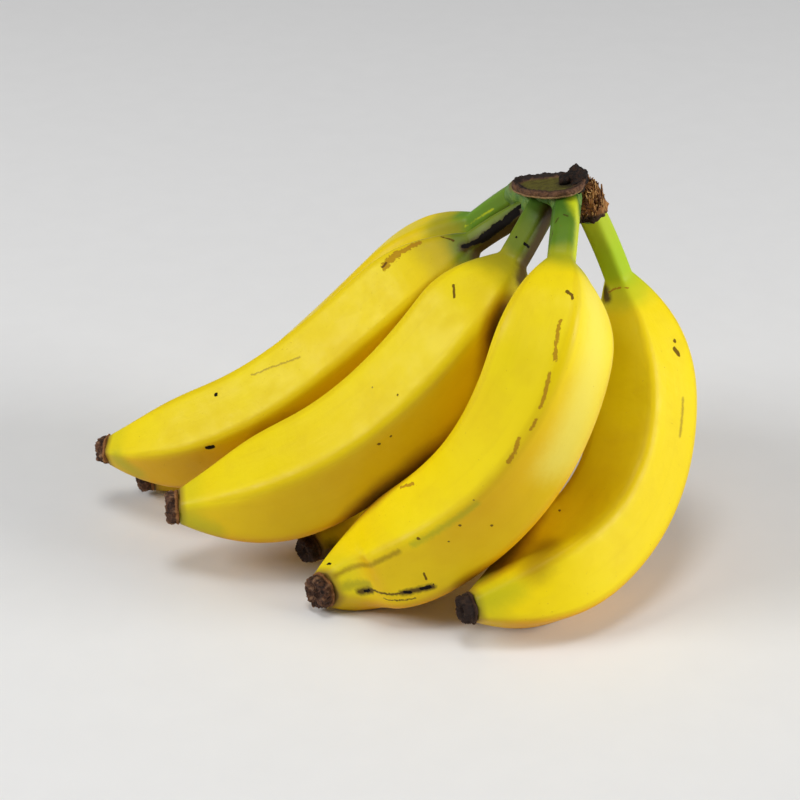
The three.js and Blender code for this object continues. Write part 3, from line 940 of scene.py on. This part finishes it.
def build_cap():
    """The sliced face with its dried rim."""
    outline = closed_curve(CAP_OUTLINE, CAP_POINTS) - CAP_CENTRE
    points, rim = [], []
    for step, scale, height in zip(*rows_between(CAP_SECTION, CAP_ROWS)):
        lip = math.exp(-((step - LIP_ROW) / 2.2) ** 2)
        flank = 1 if step < FLANK_ROWS else 0.35
        for x, y in outline:
            place = (x * scale + CAP_CENTRE[0], y * scale + CAP_CENTRE[1])
            seat = Vector((*place, cap_height(*place) + height))
            lump = fractal(seat, 0.28)
            grain = fractal((seat.x * 0.9, seat.y * 0.9, seat.z * 2.4), 1.0)
            away = Vector((x, y, 0)).normalized() * flank * (0.45 * lump + 0.22 * grain)
            ragged = lip * (0.5 * lump + 0.2 * grain + (0.5 if y > 4 else -0.3))
            seat += away + Vector((0, 0, ragged + 0.22 * flank * grain))
            points.append(seat)
            rim.append(step)
    piece = new_object("crown_cap", np.array(points) * MM, closed_tube(CAP_ROWS, CAP_POINTS))
    smooth(piece)
    store(piece, "section", "FLOAT", rim)
    return piece


def build_knob():
    """The dried, knobbly stump beside the cut face."""
    parts = Parts()
    for centre, radius in KNOB:
        parts.ball(centre, (radius, radius, radius), 60, 90)
    middle = np.array(KNOB[0][0])
    for index, point in enumerate(parts.points):
        lump = fractal(point, 0.3)
        grain = fractal(point, 1.0)
        parts.points[index] = point + unit(point - middle) * (0.9 * lump + 0.45 * grain)
    return remeshed(parts.make("crown_knob"), KNOB_VOXEL, 1)


def torn_frame():
    """Directions down the torn end, to its side and to its front."""
    down = unit(TORN_TO - TORN_FROM)
    side = unit(np.cross((0, 1, 0), down))
    return down, side, np.cross(down, side)


def torn_point(share, angle):
    """A place on the torn end's skin, and the way out of it."""
    side, front = torn_frame()[1:]
    width = np.interp(share, *zip(*TORN_WIDTHS))
    outward = math.cos(angle) * side + math.sin(angle) * front
    return TORN_FROM + share * (TORN_TO - TORN_FROM) + width * outward, outward


def build_torn_end():
    """The torn stalk under the knob, ribbed with fibre."""
    points, raised = [], []
    for share in np.linspace(0, 1, TORN_ROWS):
        for side in range(TORN_SIDES):
            angle = side * 2 * math.pi / TORN_SIDES
            point, outward = torn_point(share, angle)
            fibre = fractal((math.cos(angle) * 4, math.sin(angle) * 4, share * 2.2), 1.3)
            lump = fractal(point, 0.35)
            points.append(point + outward * (0.8 * fibre + 0.7 * lump))
            raised.append(0.5 + 0.5 * fibre)
    piece = new_object("crown_torn_end", np.array(points) * MM,
                       closed_tube(TORN_ROWS, TORN_SIDES))
    smooth(piece)
    store(piece, "raised", "FLOAT", raised)
    return piece


def build_strands():
    """Stiff fibres that stand out of the torn end, most of them pointing up."""
    draw = np.random.default_rng(7)
    down = torn_frame()[0]
    parts = Parts()
    for _ in range(STRANDS):
        angle = draw.uniform(0, 2 * math.pi)
        share = draw.uniform(0.12, 0.95)
        start, outward = torn_point(share, angle)
        across = unit(np.cross(down, outward))
        heading = unit(-down + outward * draw.uniform(-0.1, 0.14)
                       + across * draw.uniform(-0.5, 0.5))
        length = draw.uniform(*STRAND_LENGTHS)
        bend = outward * draw.uniform(-0.2, 0.02) + across * draw.uniform(-0.2, 0.2)
        t = np.linspace(0, 1, 7)[:, None]
        line = start - outward * 0.3 + length * (heading * t + bend * t ** 2)
        radius = draw.uniform(*STRAND_RADII)
        radii = radius * np.interp(t[:, 0], (0, 0.7, 1), (0.8, 1, 0.6))
        parts.tube(line, radii, 6, draw.uniform(0, 1))
    piece = parts.make("crown_strands")
    store(piece, "tone", "FLOAT", parts.values)
    return piece


def flesh_material():
    """Green flesh, browned under the cut face and beside the torn end."""
    tree = Tree("crown_flesh")
    place = tree.place()
    x, y, z = tree.split(place)
    plane = tree.plus(tree.math("MULTIPLY", x, -CAP_SLOPE[0]), y, -CAP_SLOPE[1])
    base = CAP_TOP - CAP_SLOPE[0] * CAP_CENTRE[0] - CAP_SLOPE[1] * CAP_CENTRE[1]
    under = tree.math("SUBTRACT", base, tree.math("ADD", z, plane))
    grain = tree.noise(place, 0.4, 4.0, 0.6)
    fine = tree.noise(place, 1.8, 4.0, 0.6)
    under = tree.math("ADD", under, tree.sway(grain, 4.0))
    colour = tree.mix(tree.ramp(grain, 0.35, 0.65), "4F7A30", "6B8A2E")
    colour = tree.mix(tree.ramp(fine, 0.55, 0.75, 0, 0.35), colour, "7A7A2C")
    colour = tree.mix(tree.ramp(under, *CUT_BROWNING, 0, 0.75), colour, "6A4A22")
    centre, far, near = TORN_BROWNING
    torn = tree.plus(tree.vector("LENGTH", tree.vector("SUBTRACT", place, centre)), grain, 3.0)
    colour = tree.mix(tree.ramp(torn, far, near), colour, "5C3A1A")
    return tree.finish(colour, 0.6, FLESH_SHINE, tree.plus(grain, fine, 0.3), 0.6, 0.5)


def cap_material():
    """Brown band with a pale seam under it, a dark lip, and the olive cut face."""
    tree = Tree("crown_cap_skin")
    place = tree.place()
    section = tree.attribute("section")
    grain = tree.noise(place, 0.45, 5.0, 0.65)
    fine = tree.noise(place, 1.9, 4.0, 0.6)
    wave = tree.math("ADD", section, tree.sway(grain, 3.0))
    band = tree.mix(tree.ramp(grain, 0.35, 0.65), "45291A", "6E4A30")
    band = tree.mix(tree.ramp(fine, 0.5, 0.7, 0, 0.4), band, "7E5C38")
    seam = tree.math("MULTIPLY", tree.ramp(wave, *SEAM_START), tree.ramp(wave, *SEAM_END))
    band = tree.mix(tree.math("MULTIPLY", seam, 0.75), band, "A8875A")
    lip = tree.math("MULTIPLY", tree.ramp(wave, *LIP_START), tree.ramp(wave, *LIP_END))
    behind = tree.ramp(tree.split(place)[1], -2.0, 6.0, 0.7, 0.95)
    colour = tree.mix(tree.math("MULTIPLY", lip, behind), band, "1C110A")
    cut = tree.mix(tree.ramp(grain, 0.35, 0.65), "4C4510", "625C1C")
    cut = tree.mix(tree.ramp(fine, 0.5, 0.75, 0, 0.5), cut, "4A3A12")
    centre, far, near = KNOB_SHADOW
    reach = tree.plus(tree.vector("LENGTH", tree.vector("SUBTRACT", place, centre)), grain, 4.0)
    cut = tree.mix(tree.ramp(reach, far, near, 0, 0.9), cut, "20140A")
    colour = tree.mix(tree.ramp(wave, *FACE_START), colour, cut)
    return tree.finish(colour, 0.72, CAP_SHINE, tree.plus(grain, fine, 0.4), 0.8, 0.5)


def knob_material():
    """Nearly black, with a little brown."""
    tree = Tree("crown_knob_skin")
    place = tree.place()
    grain = tree.noise(place, 0.6, 5.0, 0.65)
    fine = tree.noise(place, 2.4, 4.0, 0.6)
    colour = tree.mix(tree.ramp(grain, 0.4, 0.7), "0E0805", "3A2212")
    colour = tree.mix(tree.ramp(fine, 0.62, 0.76, 0, 0.4), colour, "5C4228")
    return tree.finish(colour, 0.78, DRY_SHINE, fine, 0.9, 0.5)


def torn_material(name, attribute, dark, middle, pale):
    """Dry brown fibre, darker towards the bottom of the torn end."""
    tree = Tree(name)
    place = tree.place()
    height = tree.split(place)[2]
    tone = tree.attribute(attribute)
    grain = tree.noise(place, 0.8, 4.0, 0.6)
    fine = tree.noise(place, 3.0, 3.0, 0.6)
    colour = tree.mix(tree.ramp(tone, 0.2, 0.55), dark, middle)
    colour = tree.mix(tree.ramp(tone, 0.55, 0.95, 0, 0.9), colour, pale)
    colour = tree.mix(tree.ramp(grain, 0.5, 0.75, 0, 0.5), colour, dark)
    low = tree.plus(height, grain, 2.5)
    colour = tree.mix(tree.ramp(low, *TORN_DARK, 0, 0.9), colour, "1A0E07")
    return tree.finish(colour, 0.75, DRY_SHINE, fine, 0.7, 0.3)


for piece, material in (
        (build_crown_body(), flesh_material()), (build_cap(), cap_material()),
        (build_knob(), knob_material()),
        (build_torn_end(),
         torn_material("torn_fibre", "raised", "42260F", "8A5A2A", "B4824A")),
        (build_strands(),
         torn_material("loose_strand", "tone", "54300F", "90622C", "C79C60"))):
    finish_piece(piece, "crown", material)


# ---- Stage, light and camera ----

FLOOR_REACH = 8.0
FLOOR_DROP = 0.0002       # just under the bunch
FLOOR_SHADES = ((0.82, 0.82, 0.82), (0.85, 0.85, 0.85))
# Soft lights: name, place, size and power in watts. They all aim at the middle of the bunch.
MIDDLE = (0.0, 0.0, 0.06)
LIGHTS = (("right", (1.80, -0.50, 0.72), 1.0, 27.0),
          ("left", (-1.60, -0.40, 1.15), 0.9, 20.0),
          ("top", (-0.15, -0.30, 2.0), 0.8, 11.0))
SKY_STRENGTH = 0.16
CAMERA_TARGET = Vector((4, -25, 72)) * MM
CAMERA_DISTANCE = 780 * MM
CAMERA_ELEVATION = math.radians(28)


def floor_material():
    tree = Tree("pale_floor")
    speck = tree.noise(tree.place(1.0), 60.0, 2.0)
    colour = tree.mix(speck, *FLOOR_SHADES)
    tree.put(tree.shader.inputs["Base Color"], colour)
    tree.shader.inputs["Roughness"].default_value = 0.7
    return tree.material


def build_floor():
    reach = FLOOR_REACH
    points = [(-reach, -reach, 0), (reach, -reach, 0), (reach, reach, 0), (-reach, reach, 0)]
    floor = new_object("floor", points, [(0, 1, 2, 3)])
    floor.data.materials.append(floor_material())
    floor.location.z = -FLOOR_DROP


def area_light(name, place, size, power):
    light = bpy.data.lights.new(name, "AREA")
    light.shape = "DISK"
    light.size = size
    light.energy = power
    lamp = bpy.data.objects.new(name, light)
    bpy.context.scene.collection.objects.link(lamp)
    lamp.location = place
    lamp.rotation_euler = (Vector(MIDDLE) - Vector(place)).to_track_quat("-Z", "Y").to_euler()


def build_sky():
    world = bpy.data.worlds.new("studio")
    world.use_nodes = True
    background = world.node_tree.nodes["Background"]
    background.inputs["Color"].default_value = (1, 1, 1, 1)
    background.inputs["Strength"].default_value = SKY_STRENGTH
    bpy.context.scene.world = world
    bpy.context.scene.view_settings.view_transform = "Standard"
    bpy.context.scene.view_settings.look = "None"


def build_camera():
    lens = bpy.data.cameras.new("camera")
    lens.lens = 100
    lens.sensor_width = 36
    lens.sensor_fit = "HORIZONTAL"
    lens.clip_start = 0.01
    lens.clip_end = 50
    camera = bpy.data.objects.new("camera", lens)
    bpy.context.scene.collection.objects.link(camera)
    away = Vector((0, -math.cos(CAMERA_ELEVATION), math.sin(CAMERA_ELEVATION)))
    camera.location = CAMERA_TARGET + away * CAMERA_DISTANCE
    camera.rotation_euler = (-away).to_track_quat("-Z", "Y").to_euler()
    bpy.context.scene.camera = camera


build_floor()
for light in LIGHTS:
    area_light(*light)
build_sky()
build_camera()
